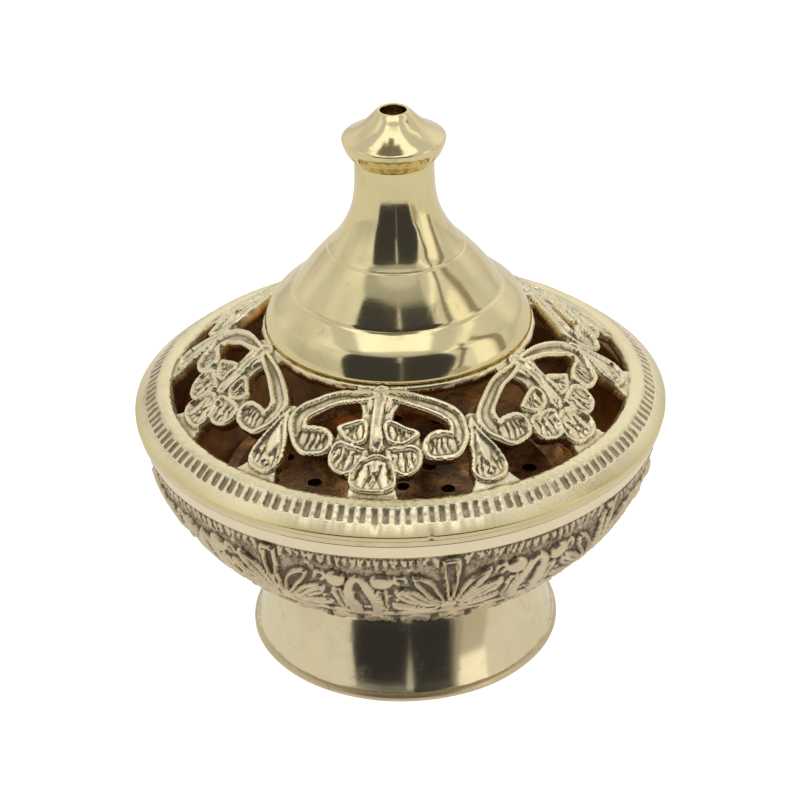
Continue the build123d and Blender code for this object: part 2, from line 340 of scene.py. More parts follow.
def leaf_relief(angle, radius):
    """Relief of the openwork, for angles folded into 0 to 30 degrees from a leaf's middle."""
    work = Relief(unrolled(angle, radius))
    # Sunk ground that ties the motifs together, and feet where lobe and drop meet the ring
    stem_ground = [(0, 22.5), (10, 22.7), (10.5, 24.4), (7.6, 25.4), (5.9, 26.8), (5.6, 28.6),
                   (9.5, 29.2), (12.2, 30.0), (12.6, 32.2), (11.4, 34.6), (6.4, 35.8), (0, 37)]
    tie = [(30, 28.0), (28.4, 28.3), (27.4, 30.2), (26.6, 31.9), (27.6, 33.2), (30, 34)]
    lobe_foot = [(0, 39.2), (6.3, 39.1), (5.4, 38.0), (4.9, 36.6), (0, 36.4)]
    drop_foot = [(30, 39.2), (23.6, 39.1), (25.2, 37.6), (26.0, 36.2), (30, 36.2)]
    for half, about, level in ((stem_ground, 0, -0.2), (tie, 30, -0.25),
                               (lobe_foot, 0, -0.15), (drop_foot, 30, -0.15)):
        work.shape(on_dome(both_sides(half, about)), level, ridge=0.0, width=0.3)
    bridge = on_dome([(11.5, 33.4), (14.9, 33.2), (14.9, 30.9), (11.5, 31.2)])
    work.shape(bridge, -0.2, ridge=0.0, width=0.3)
    # Scroll arm, from the stem's foot out and round to the bud: two ridges and a groove
    arm = spline(on_dome([(2.6, 24.2), (8.5, 24.75), (15.2, 25.6), (20.6, 26.95), (24.3, 28.3),
                          (25.3, 29.6), (24.6, 31.0), (23.0, 31.9)]), 5)
    bud = dome_loop([(12.8, 32.0), (14.4, 33.4), (18.0, 34.0), (21.8, 33.9), (24.9, 32.8),
                     (25.2, 31.2), (22.0, 30.2), (18.4, 29.9), (14.6, 30.2), (12.9, 31.0)])
    work.shape(bud, 0.1, arm, [2.0, 2.9, 3.2, 3.4, 3.6, 3.3], ridge=0.36, width=0.82,
               recess=-0.3, soft=0.22)
    # Stem, and the leaf's lobes
    work.shape(None, 0.1, on_dome([(0, 31.6), (0, 28.5), (0, 26.0), (0, 23.6)]),
               [2.5, 2.1, 1.9, 3.2], ridge=0.24, width=0.6, recess=-0.05)
    leaf = dict(ridge=0.36, width=0.66, recess=-0.12, soft=0.22)
    work.shape(dome_loop([(0, 38.0), (2.8, 37.85), (4.9, 37.1), (5.7, 35.9), (5.2, 34.5),
                          (3.4, 33.2), (0, 32.6)], 0), 0.14, **leaf)
    work.shape(dome_loop([(2.6, 33.1), (4.6, 35.0), (7.0, 35.7), (10.0, 35.5), (12.5, 34.8),
                          (13.5, 33.5), (12.9, 32.1), (10.8, 31.35), (7.2, 31.45), (4.0, 31.7),
                          (2.2, 32.2)]), 0.1, **leaf)
    work.shape(dome_loop([(2.4, 29.8), (3.2, 31.1), (5.6, 31.6), (8.4, 31.45), (10.6, 30.9),
                          (12.6, 30.0), (9.6, 29.0), (6.8, 28.3), (4.2, 28.0), (2.8, 28.6)],
                         steps=4), 0.08, **leaf)
    work.dome(dome_loop([(0, 31.6), (1.4, 30.7), (1.0, 29.3), (0, 28.6)], 0), 0.15, 0.35, 0.7)
    # Small flame beside the stem's foot
    work.dome(dome_loop([(2.9, 26.9), (4.8, 25.6), (4.2, 24.7), (2.6, 25.2)]), 0.1, 0.3, 0.6)
    # Drop between two leaves
    work.shape(dome_loop([(30, 37.9), (32.8, 37.6), (34.6, 36.6), (34.9, 35.2), (33.9, 33.1),
                          (32.0, 31.0), (30, 28.6)], 30), 0.08, **leaf)
    work.dome(dome_loop([(30, 35.4), (31.6, 33.9), (30.9, 32.0), (30, 30.4)], 30),
              0.05, 0.32, 0.7)
    # Veins, and uneven seeds cut with a small punch: each from (angle, radius) to the same
    for vein in ((0, 31.7, 0, 34.6), (0.8, 32.1, 3.4, 33.9), (1.6, 31.9, 5.6, 32.7)):
        work.carve(on_dome([vein[:2], vein[2:]]), 0.3, 0.3)
    seeds = [(0, 34.8, 0, 37.2), (1.3, 34.3, 1.6, 37.1), (2.6, 34.3, 3.2, 36.7),
             (3.8, 34.7, 4.4, 36.2), (4.6, 33.2, 5.2, 34.7), (6.0, 32.7, 6.7, 34.9),
             (7.4, 32.4, 8.2, 34.9), (8.8, 32.3, 9.8, 34.7), (10.1, 32.2, 11.3, 34.2),
             (4.2, 29.2, 4.3, 30.7), (5.7, 29.1, 5.8, 31.0), (7.2, 29.3, 7.4, 31.0),
             (8.7, 29.6, 9.0, 30.7)]
    seeds += [(middle, 31.0, middle + 0.5, 33.0) for middle in np.arange(15.0, 24.0, 1.9)]
    seeds += [(28.2, 34.4, 28.0, 36.6), (30, 35.8, 30, 37.1), (26.9, 35.0, 26.7, 36.2)]
    own = np.random.default_rng(53)
    for seed in seeds:
        start, end = np.array(seed, float).reshape(2, 2)
        start[0] += own.uniform(-0.35, 0.35)
        end[1] += own.uniform(-0.4, 0.1)
        bend = (start + end) / 2 + (own.choice([-1, 1]) * own.uniform(0.3, 0.9), 0)
        work.carve(on_dome([start, bend, end]), own.uniform(0.32, 0.44), 0.36)
    return work


def dome_profile(radius):
    """Height of the dome's plain surface, and its slope."""
    path = [(17.0, 59.6), (21.2, 59.6), (22.6, 59.4), (24.2, 58.9), (26.0, 58.0), (30.0, 55.2)]
    path += [(34.0, 52.0), (37.2, 49.7), (38.5, 48.95), (39.4, 48.72), (41.0, 48.6), (42.0, 48.5)]
    fine = spline(path, 24)
    slope = np.gradient(fine[:, 1], fine[:, 0])
    return np.interp(radius, fine[:, 0], fine[:, 1]), np.interp(radius, fine[:, 0], slope)


def on_surface(angle, radius, lift):
    """A point over the dome: angle in degrees, plan radius, lift along the surface's normal."""
    height, slope = dome_profile(radius)
    length = np.sqrt(1 + slope**2)
    return polar(radius - lift * slope / length, np.radians(angle), height + lift / length)


def pierced_shell(angles, radii, inside, lift, thickness):
    """A closed shell over the part of a round grid where inside is positive.

    Returns its points, its faces, and how many points each side has: first the upper side's,
    which are the grid's and then those on the holes' edges, where the distance passes zero."""
    solid = inside > 0
    number = -np.ones(inside.shape, int)
    number[solid] = np.arange(solid.sum())
    grid = np.stack([*np.meshgrid(angles, radii), lift], -1)
    flat = [grid[solid]]
    count = len(flat[0])

    def crossings(f0, f1, start, end):
        nonlocal count
        cut = (f0 > 0) != (f1 > 0)
        t = np.clip(f0[cut] / (f0[cut] - f1[cut]), 0.15, 0.85)[:, None]
        flat.append((1 - t) * start[cut] + t * end[cut])
        made = -np.ones(cut.shape, int)
        made[cut] = count + np.arange(cut.sum())
        count += int(cut.sum())
        return made

    after = np.roll(grid, -1, axis=1)
    after[:, -1, 0] += 360.0
    along = crossings(inside, np.roll(inside, -1, axis=1), grid, after)
    up = crossings(inside[:-1], inside[1:], grid[:-1], grid[1:])
    flat = np.vstack(flat)
    following = np.roll(number, -1, axis=1)
    corner = np.stack([number[:-1], following[:-1], following[1:], number[1:]], -1)
    edge = np.stack([along[:-1], np.roll(up, -1, axis=1), along[1:], up], -1)
    filled = (corner >= 0).all(-1)
    mixed = (corner >= 0).any(-1) & ~filled
    top_faces, walls = corner[filled].tolist(), []
    for corners, edges in zip(corner[mixed].tolist(), edge[mixed].tolist()):
        walk, cuts = [], []
        for k in range(4):
            if corners[k] >= 0:
                walk.append(corners[k])
            if edges[k] >= 0:
                walk.append(edges[k])
                cuts.append((edges[k], corners[k] >= 0))
        top_faces.append(walk)
        for k, (vertex, leaving) in enumerate(cuts):
            if leaving:
                walls.append((vertex, cuts[(k + 1) % len(cuts)][0]))
    under = flat.copy()
    under[:, 2] = -thickness
    points = np.vstack([on_surface(*flat.T), on_surface(*under.T)])
    faces = top_faces + [[v + count for v in face[::-1]] for face in top_faces]
    faces += [[b, a, a + count, b + count] for a, b in walls]
    for row, way in ((number[0], 1), (number[-1], -1)):
        after = np.roll(row, -1)
        faces += np.stack([after, row, row + count, after + count], -1)[:, ::way].tolist()
    return points, faces, count


def side_darkening(angle, middle, spread):
    """1 at an angle and falling off on both sides, in degrees: it makes the left side darker."""
    away = (angle - middle + 180) % 360 - 180
    return np.exp(-((away / spread) ** 2))


def make_openwork(material):
    """The pierced dome with its relief, the raised ring round it and the land for the chimney."""
    columns = 960 // COARSE
    fine = np.arange(LAND_RADIUS - 0.7, CREST_RADIUS - 0.2, 0.16 * COARSE)
    ring = np.linspace(CREST_RADIUS - 0.2, CREST_OUTER, 13 // COARSE)
    radii = np.concatenate([[17.65, 19.5, 21.5], fine, ring])
    angles = np.arange(columns) * 360.0 / columns
    a, r = np.meshgrid(angles, radii)
    where = on_surface(a, r, 0.0)
    # Cast work: no two repeats are quite the same
    a_bent = a + 0.42 * ripple(where, 9.0, 1) + 0.12 * ripple(where, 3.0, 2)
    r_bent = r + 0.14 * ripple(where, 8.0, 3) + 0.04 * ripple(where, 2.5, 4)
    folded = np.abs((a_bent + 180 / LEAVES) % (360 / LEAVES) - 180 / LEAVES)
    work = leaf_relief(folded, r_bent)
    lift, inside = work.height, work.inside
    # Raised ring, crowned with a rounded inner edge, and the land: both rough from the casting
    ring_in = (r - CREST_RADIUS + 0.06 * ripple(where, 4.0, 5)) * SLANT
    crown = 0.15 * (r - 39.7) ** 2
    flat_top = RING_TOP - crown - dome_profile(r)[0] + 0.03 * ripple(where, 0.9, 10)
    bead = -EDGE_DROP + (EDGE_DROP + flat_top) * smoothstep(-0.1, 0.6, ring_in)
    land_in = LAND_RADIUS + 0.08 * ripple(where, 2.6, 6) - r
    land = -0.05 - EDGE_DROP * (1 - smoothstep(-0.1, 0.4, land_in))
    for distance, height in ((ring_in, bead), (land_in, land)):
        lift = np.maximum(lift, np.where(distance > -SKIRT, height, NOWHERE))
        inside = np.maximum(inside, distance)
    lift = np.where(inside > -SKIRT, lift, -EDGE_DROP - 0.5)
    lift += 0.02 * ripple(where, 1.4, 8) + 0.01 * ripple(where, 0.7, 9)
    hollow = np.clip((blurred(np.maximum(lift, -0.6), 3, 3) - lift) / 0.3, 0, 1)
    # The lid is also made darker round its left side.
    cavity = hollow + 0.5 * smoothstep(0.05, -0.45, lift) + 0.2 * side_darkening(a, -68, 32)
    points, faces, count = pierced_shell(angles, radii, inside, lift, SHELL)
    upper = int((inside > 0).sum())
    dark = np.full(len(points), 0.3)
    dark[:upper] = np.clip(cavity, 0, 1)[inside > 0]
    smooth = np.zeros(len(points))
    smooth[:upper] = 0.3 * smoothstep(CREST_RADIUS, CREST_RADIUS + 0.4, r)[inside > 0]
    # The underside gets the painted shade of the inside.
    heated = np.arange(len(points)) >= count
    new_piece("lid_openwork", points, faces, "lid", ["lid_fret"], "patinated_brass", material,
              crease=55, cavity=dark, smooth=smooth, heated=heated)


# ---- Lid: rim with its ribbed channel ----

RIBS = 150
LIP_START = (43.35, 47.0)
LIP_EDGE = 43.4  # the channel's slots and roughness stop here


def make_rim(material):
    """The lid's rim: a channel of short radial slots between the raised ring and the smooth lip."""
    per_rib = 12 // COARSE
    columns = RIBS * per_rib
    channel = rounded([(CREST_OUTER, 47.3, 0), (CREST_OUTER, RING_TOP - 0.22, 0.08),
                       (*LIP_START, 0)], 4)
    lip = rounded([(*LIP_START, 0), (44.95, 45.7, 0.12), (45.0, 45.55, 0.05),
                   (45.0, 44.98, 0.06), (44.92, 44.9, 0.06), (42.6, 44.9, 0)], 6)
    under = rounded([(42.6, 44.9, 0), (40.98, 44.9, 0.15), (40.98, 45.95, 0.1),
                     (CREST_OUTER, 45.95, 0)], 3)
    profile = np.vstack([resampled(channel, 0.14), resampled(lip[1:], 0.3),
                         resampled(under[1:], 0.8)])
    points, faces = lathe_mesh(profile, columns)
    points = points.reshape(len(profile), columns, 3)
    r = np.linalg.norm(points[..., :2], axis=-1)
    # Slots: no two of the same width, length, depth or lean
    own = np.random.default_rng(21)
    rib = np.arange(columns) // per_rib
    angle = np.arange(columns) * 360.0 / columns
    middle = (rib + 0.5 + own.uniform(-0.08, 0.08, RIBS)[rib]) * (360.0 / RIBS)
    lean = own.uniform(-0.06, 0.06, RIBS)[rib]
    across = np.radians(angle - middle) * r + lean * (r - 42.1)
    half = own.uniform(0.47, 0.57, RIBS)[rib]
    outer_end = (43.15 + own.uniform(-0.12, 0.06, RIBS))[rib]
    inner_end = (41.15 + own.uniform(-0.1, 0.2, RIBS))[rib]
    depth = own.uniform(0.3, 0.44, RIBS)[rib]
    ends = np.minimum((outer_end - r) * 0.9, (r - inner_end) * 0.4)
    slot = np.minimum(half - np.abs(across), ends)
    top = (points[..., 2] > 46.95) & (r < LIP_EDGE)
    cut = smoothstep(-0.12, 0.3, slot) * depth * top
    points[..., 2] -= cut
    wear = ripple(points, 5.0, 22) * 0.03 + ripple(points, 1.0, 23) * 0.025
    points[..., 2] += np.where(top, wear, 0) * smoothstep(LIP_EDGE, 43.1, r)
    # A small nick in the lip, to the right of the front leaf
    nick = np.exp(-(((angle - 12.7) / 0.55) ** 2)) * smoothstep(44.0, 44.8, r)
    inward = 0.28 * nick * (points[..., 2] > 44.95)
    points[..., :2] *= (1 - inward / r)[..., None]
    dark = 0.78 * smoothstep(0.04, 0.22, cut) + 0.4 * nick
    # The lip is also made darker round its left side.
    dark += 0.42 * side_darkening(angle, -75, 36) * smoothstep(44.2, LIP_EDGE, r)
    # Under the rim: painted shade of the inside.
    heated = (r < CREST_OUTER) & (points[..., 2] < 46.5)
    new_piece("lid_rim", points.reshape(-1, 3), faces, "lid", ["lid_fret"], "patinated_brass",
              material, crease=60, cavity=np.clip(dark, 0, 1),
              smooth=smoothstep(LIP_EDGE, 43.7, r), heated=heated)


# ---- Bowl with its frieze ----

PALMETTES = 9
FRIEZE_AT = 17.3  # angle of one palmette's middle, in degrees from the front leaf
FRIEZE_TOP = (43.7, 40.9)  # radius and height
MM_PER_DEGREE = 0.75  # along the frieze, at its top
HALF_REPEAT = 180 / PALMETTES * MM_PER_DEGREE
GROUND = -0.26  # height of the ground between the motifs
STRETCH = 1.12  # length down the bowl for each millimetre of the pattern
PATTERN_END = 17.0 * STRETCH


def frieze_relief(across, down):
    """Relief of the frieze, folded from a palmette's middle (0) to an arch's middle."""
    work = Relief(np.stack([across, down], -1))
    work.height[:] = GROUND
    # Upper edge: a row of uneven tongues with short cuts over them
    own = np.random.default_rng(37)
    for middle in np.arange(2.6, HALF_REPEAT + 0.6, 1.3):
        long, wide, lean = own.uniform(1.5, 2.9), own.uniform(0.36, 0.56), own.uniform(-0.35, 0.35)
        tongue = [(middle - wide, 0.35), (middle + wide, 0.3), (middle + wide + lean, long * 0.6),
                  (middle + lean, long), (middle - wide + lean, long * 0.55)]
        work.shape(loop(tongue, 4), own.uniform(-0.16, -0.04), ridge=0.14, width=0.4,
                   recess=-0.06)
    for _ in range(70):
        middle, low = own.uniform(0, HALF_REPEAT), own.uniform(0.4, 3.6)
        turn = own.uniform(-0.5, 0.5)
        work.carve([(middle, low), (middle + turn, low + own.uniform(0.4, 1.0))], 0.22, 0.22)
    # Palmette: seven lobes from one root
    lobe = [(0, 0.7), (1.25, 1.0), (1.5, 2.4), (1.15, 6.0), (0.7, 10.0), (0, 11.8)]
    work.shape(loop(both_sides(lobe)), 0.1, ridge=0.35, width=0.5, recess=-0.35)
    work.shape(loop([(0.95, 11.6), (1.75, 8.2), (3.4, 5.2), (5.6, 3.6), (6.6, 3.7), (6.3, 5.3),
                     (4.6, 8.0), (2.4, 10.8)]), 0.1, ridge=0.35, width=0.48, recess=-0.35)
    work.shape(loop([(1.6, 12.3), (3.4, 9.9), (5.9, 7.6), (8.3, 6.6), (9.3, 7.3), (8.6, 9.2),
                     (6.2, 11.0), (3.2, 12.5)]), 0.05, ridge=0.3, width=0.45, recess=0.05)
    for a, b in (((3.2, 11.6), (6.6, 8.4)), ((4.6, 11.6), (8.2, 8.6))):
        work.carve([a, b], 0.42, 0.32)
    work.shape(loop([(1.5, 13.1), (4.0, 12.7), (7.2, 11.7), (9.4, 11.3), (9.8, 12.4),
                     (7.8, 13.7), (4.4, 14.3), (2.0, 14.1)]), ridge=0.25, width=0.4)
    work.carve([(3.4, 13.5), (8.4, 12.5)], 0.36, 0.28)
    root = [(0, 12.0), (1.3, 12.6), (1.2, 14.0), (0, 14.8)]
    work.dome(loop(both_sides(root)), 0.0, 0.35, 0.9)
    # Small curl and boss beside the palmette, with a stem under the boss
    curl = spline([(7.5, 5.2), (8.0, 3.9), (9.0, 3.8), (9.3, 4.8), (8.7, 5.5)], 6)
    work.shape(None, 0.0, curl, [0.5, 0.8, 0.8, 0.8, 0.7], ridge=0.1, width=0.6)
    boss = [(11.2, 3.3), (12.75, 4.1), (12.6, 5.7), (11.2, 6.4)]
    work.dome(loop(both_sides(boss, 11.2)), 0.0, 0.6, 1.4)
    work.shape(loop([(11.2, 6.9), (12.1, 7.4), (12.0, 10.8), (11.6, 13.9), (10.7, 14.2),
                     (10.3, 10.6), (10.3, 7.5)]), ridge=0.25, width=0.4, recess=-0.1)
    work.carve([(11.2, 7.8), (11.1, 13.0)], 0.36, 0.2)
    # Arch: two legs that meet over a dark leaf-shaped opening
    legs = spline([(13.0, 14.5), (12.9, 11.4), (13.2, 8.0), (13.8, 5.4), (15.0, 4.0)], 6)
    work.shape(None, 0.16, legs, [2.3, 2.1, 1.9, 1.6, 1.1], ridge=0.12, width=1.1)
    # Pellets on the ground, and the plain fillet under the frieze
    turns = np.arange(0, 6.2, 1.05)
    for spot in ((10.2, 9.0), (6.9, 2.2), (8.6, 10.4), (14.6, 13.0)):
        pellet = np.stack([np.sin(turns), np.cos(turns)], -1) * 0.42 + spot
        work.dome(loop(pellet, 3), -0.25, 0.3, 0.4)
    fillet = np.minimum(down - 15.1, 16.6 - down)
    height = moulding(fillet, ridge=0.12, width=0.5, recess=0.05)
    return np.maximum(work.height, np.where(fillet > -SKIRT, height, NOWHERE))


PETALS = 36


def petal_relief(angle, down):
    """Long overlapping petals on the bowl's underside, from the fillet down to the foot."""
    pitch = 360.0 / PETALS
    fold = np.abs((angle + pitch / 2) % pitch - pitch / 2) / pitch * 2
    length = np.clip((down - PATTERN_END) / 15.0, 0, 1)
    half = np.sqrt(np.clip(1 - (1 - np.clip(length * 3.2, 0, 1)) ** 2, 0, 1)) * 0.86
    d = (half - fold) * 3.2 * (1 - 0.45 * length)
    height = -0.42 + 0.42 * smoothstep(-0.1, 0.3, d)
    height += 0.3 * smoothstep(0.0, 0.25, d) * (1 - smoothstep(0.4, 0.7, d))
    height -= 0.2 * smoothstep(0.12, 0.0, fold) * smoothstep(0.1, 0.3, length)
    return height


def make_bowl(material):
    """The bowl: a smooth band under the rim, the frieze, petals underneath, a plain inside."""
    columns = 1080 // COARSE
    outside = spline([FRIEZE_TOP, (42.6, 36.0), (40.4, 31.1), (36.2, 25.2), (29.9, 19.1),
                      (21.7, 14.5)], 40)
    length = np.concatenate([[0], np.cumsum(np.linalg.norm(np.diff(outside, axis=0), axis=1))])
    total = length[-1]
    down = np.concatenate([np.arange(0.0, PATTERN_END, 0.22 * COARSE),
                           np.linspace(PATTERN_END, total, 40)])
    r0 = np.interp(down, length, outside[:, 0])
    z0 = np.interp(down, length, outside[:, 1])
    normal_r, normal_z = -np.gradient(z0, down), np.gradient(r0, down)
    angles = np.arange(columns) * 360.0 / columns
    a, s = np.meshgrid(angles, down)
    where = polar(43, np.radians(a), s)
    a_bent = a + 0.5 * ripple(where, 10.0, 31) + 0.12 * ripple(where, 3.5, 32)
    s_bent = s + 0.16 * ripple(where, 9.0, 33) + 0.04 * ripple(where, 3.0, 34)
    repeat = 360.0 / PALMETTES
    folded = np.abs((a_bent - FRIEZE_AT + repeat / 2) % repeat - repeat / 2) * MM_PER_DEGREE
    lift = np.empty_like(a)
    high = down < PATTERN_END
    lift[high] = frieze_relief(folded[high], s_bent[high] / STRETCH)
    lift[~high] = petal_relief(a_bent[~high], s[~high])
    lift += 0.02 * ripple(where, 1.5, 35) + 0.012 * ripple(where, 0.8, 36)
    fade = smoothstep(0.0, 0.35, s) * smoothstep(total, total - 0.6, s)
    lift = (lift + 0.1) * fade - 0.1
    hollow = np.clip((blurred(lift, 3, 4) - lift) / 0.26, 0, 1)
    cavity = np.clip(0.8 * hollow + 0.55 * smoothstep(0.0, GROUND, lift), 0, 1) * fade
    r = r0[:, None] + lift * normal_r[:, None]
    z = z0[:, None] + lift * normal_z[:, None]
    work = polar(r, np.radians(a), z)
    # Each ring of points, with its cavity, smooth and painted inside shade
    rings, shades = [], []

    def plain(path, columns_here, smooth, heated):
        for radius, height in path:
            rings.append(ring_at(radius, height, columns_here))
            shades.append(np.repeat([[0.0], [smooth], [heated]], columns_here, axis=1))

    band = rounded([(41.4, 43.77, 0), (44.66, 43.77, 0.04), (44.7, 43.7, 0.04),
                    (43.72, 41.05, 0.15), (43.5, 40.95, 0)], 5)
    plain(resampled(band, 0.3)[1:], columns, 1.0, 0.0)
    for row, dark, far_down in zip(work, cavity, down):
        thin = 2 if far_down >= PATTERN_END else 1
        rings.append(row[::thin])
        shades.append(np.stack([dark[::thin], *np.zeros((2, columns // thin))]))
    inside = spline([(20.0, 16.8), (25.0, 18.7), (28.7, 21.0), (34.7, 26.6), (38.5, 32.2),
                     (41.3, 40.6)], 7)
    # The inside, in painted shade.
    plain([(2.8, 14.5), (2.8, 16.8), *inside, (41.4, 42.0)], columns // 2, 0.0, 1.0)
    plain([(41.4, 43.7)], columns, 0.0, 1.0)
    cavity, smooth, heated = np.hstack(shades)
    new_piece("bowl_casting", *stack_rings(rings), "base", ["bowl"], "patinated_brass", material,
              crease=50, cavity=cavity, smooth=smooth, heated=heated)


# ---- Turned pieces ----


def make_foot(material):
    outside = rounded([(22.6, 14.1, 0), (22.6, 13.1, 0.3), (26.3, 1.32, 0.12), (26.45, 1.25, 0)], 5)
    band = rounded([(26.45, 1.25, 0), (26.85, 1.1, 0.15), (27.1, 0.7, 0.25), (27.1, 0.15, 0.15),
                    (26.9, 0.0, 0.1), (23.9, 0.0, 0.2)], 5)
    inside = spline([(23.8, 0.3), (23.3, 4.0), (22.4, 9.3), (20.7, 12.5)], 5)
    web = rounded([(20.7, 12.5, 0), (2.8, 12.5, 0), (2.8, 14.5, 0), (22.6, 14.5, 0.15),
                   (22.6, 14.1, 0)], 4)
    profile = np.vstack([resampled(outside, 1.0), band[1:], inside, web[1:-1]])
    points, faces = lathe_mesh(profile, 384)
    points = swayed(points, 0.03, 14.0, 41)
    points[:, 2] = np.maximum(points[:, 2], 0.0)
    new_piece("foot_turned", points, faces, "base", ["foot"], "polished_brass", material)


def make_seat_ring(material):
    profile = rounded([(38.9, 41.2, 0), (40.9, 41.2, 0.2), (41.32, 41.7, 0.2), (41.32, 43.8, 0.1),
                       (44.65, 43.8, 0.05), (44.72, 43.87, 0.05), (44.8, 44.76, 0.04),
                       (44.74, 44.82, 0.04), (40.9, 44.82, 0.1), (40.9, 45.9, 0.2),
                       (39.5, 45.9, 0.2), (38.9, 44.8, 0.3), (38.9, 41.25, 0)], 5)
    points, faces = lathe_mesh(resampled(profile, 0.6), 480)
    new_piece("seat_ring_turned", points, faces, "seat_ring", ["lid_seat_ring"],
              "polished_brass", material)


GROOVE_WIDTH, GROOVE_DEPTH = 0.26, 0.14


def with_groove(path, at):
    """The profile with a fine turned groove cut square to it at a point."""
    fine = resampled(path, 0.06)
    tangent = np.gradient(fine, axis=0)
    tangent /= np.linalg.norm(tangent, axis=1)[:, None]
    inward = np.stack([-tangent[:, 1], tangent[:, 0]], -1)
    inward *= np.where(inward[:, :1] > 0, -1.0, 1.0)
    away = np.linalg.norm(fine - np.asarray(at), axis=1)
    cut = smoothstep(GROOVE_WIDTH, GROOVE_WIDTH * 0.35, away) * GROOVE_DEPTH
    keep = (away < 1.0) | (np.arange(len(fine)) % 6 == 0)
    keep[[0, -1]] = True
    return (fine + inward * cut[:, None])[keep]


NECK_TOP = 89.0


def make_chimney(material):
    lower_groove, upper_groove = (17.4, 66.5), (11.3, 73.8)
    flare = spline([(22.35, 60.1), (22.15, 60.9), (21.6, 62.2), (20.75, 63.7), (19.3, 65.05),
                    lower_groove], 12)
    cone = spline([lower_groove, (15.9, 68.5), (14.6, 70.15), (13.2, 71.78), (11.75, 73.33),
                   upper_groove], 8)
    neck = spline([upper_groove, (10.8, 74.3), (9.75, 75.65), (8.6, 77.5), (7.4, 80.2),
                   (6.72, 83.2), (6.5, 86.5), (6.5, NECK_TOP)], 10)
    side = np.vstack([flare, cone[1:], neck[1:]])
    side = with_groove(with_groove(side, lower_groove), upper_groove)
    lip = rounded([(17.57, 59.6, 0), (21.9, 59.6, 0.2), (22.3, 59.72, 0.15), (22.35, 60.1, 0)], 5)
    bore = spline([(5.1, NECK_TOP), (5.1, 82.0), (7.3, 76.6), (9.9, 73.2), (16.0, 65.9),
                   (16.17, 64.0)], 8)
    spigot = rounded([(16.17, 64.0, 0), (16.17, 54.8, 0.2), (17.57, 54.8, 0.2), (17.57, 59.6, 0)],
                     4)
    points, faces = lathe_mesh(np.vstack([lip[1:-1], side, bore, spigot[1:]]), 360)
    points = swayed(points, 0.05, 16.0, 51)
    new_piece("chimney_turned", points, faces, "lid", ["chimney"], "polished_brass", material)


FLUTES = 28


def make_finial(material):
    under = spline([(6.5, NECK_TOP), (7.1, 89.7), (7.75, 90.6), (8.25, 91.7), (8.45, 92.65)], 6)
    edge = spline([(8.45, 92.65), (8.42, 92.85), (8.25, 93.02)], 5)
    cone = spline([(8.25, 93.02), (6.8, 93.8), (5.1, 95.0), (3.95, 96.1), (3.2, 96.9),
                   (2.75, 97.3)], 7)
    mouth = rounded([(2.75, 97.3, 0), (2.55, 97.5, 0.2), (2.15, 97.45, 0.15), (2.1, 96.6, 0.2),
                     (2.1, 95.5, 0)], 5)
    inside = rounded([(2.1, 95.5, 0), (3.7, 91.5, 0.4), (3.7, 83.4, 0.2), (5.07, 83.4, 0.2),
                      (5.07, NECK_TOP, 0)], 4)
    profile = np.vstack([under, edge[1:], cone[1:], mouth[1:], inside[1:]])
    points, faces = lathe_mesh(profile, 240)
    points = swayed(points, 0.05, 9.0, 61)
    # Shallow flutes round the underside
    radius = np.linalg.norm(points[:, :2], axis=1)
    low = smoothstep(89.0, 89.5, points[:, 2]) * smoothstep(91.9, 91.0, points[:, 2])
    low *= smoothstep(6.0, 6.6, radius)
    flute = 0.5 - 0.5 * np.cos(FLUTES * np.arctan2(points[:, 0], -points[:, 1]))
    points[:, :2] *= (1 - 0.13 * flute * low / np.maximum(radius, 1))[:, None]
    new_piece("finial_turned", points, faces, "lid", ["finial"], "polished_brass", material)


# ---- Materials ----


def add_node(tree, kind, inputs, **settings):
    """A new node. Each input is linked if it is a socket, and set if it is a value."""
    made = tree.nodes.new(kind)
    for key, value in settings.items():
        setattr(made, key, value)
    for key, value in inputs.items():
        if isinstance(value, bpy.types.NodeSocket):
            tree.links.new(value, made.inputs[key])
        else:
            made.inputs[key].default_value = value
    return made


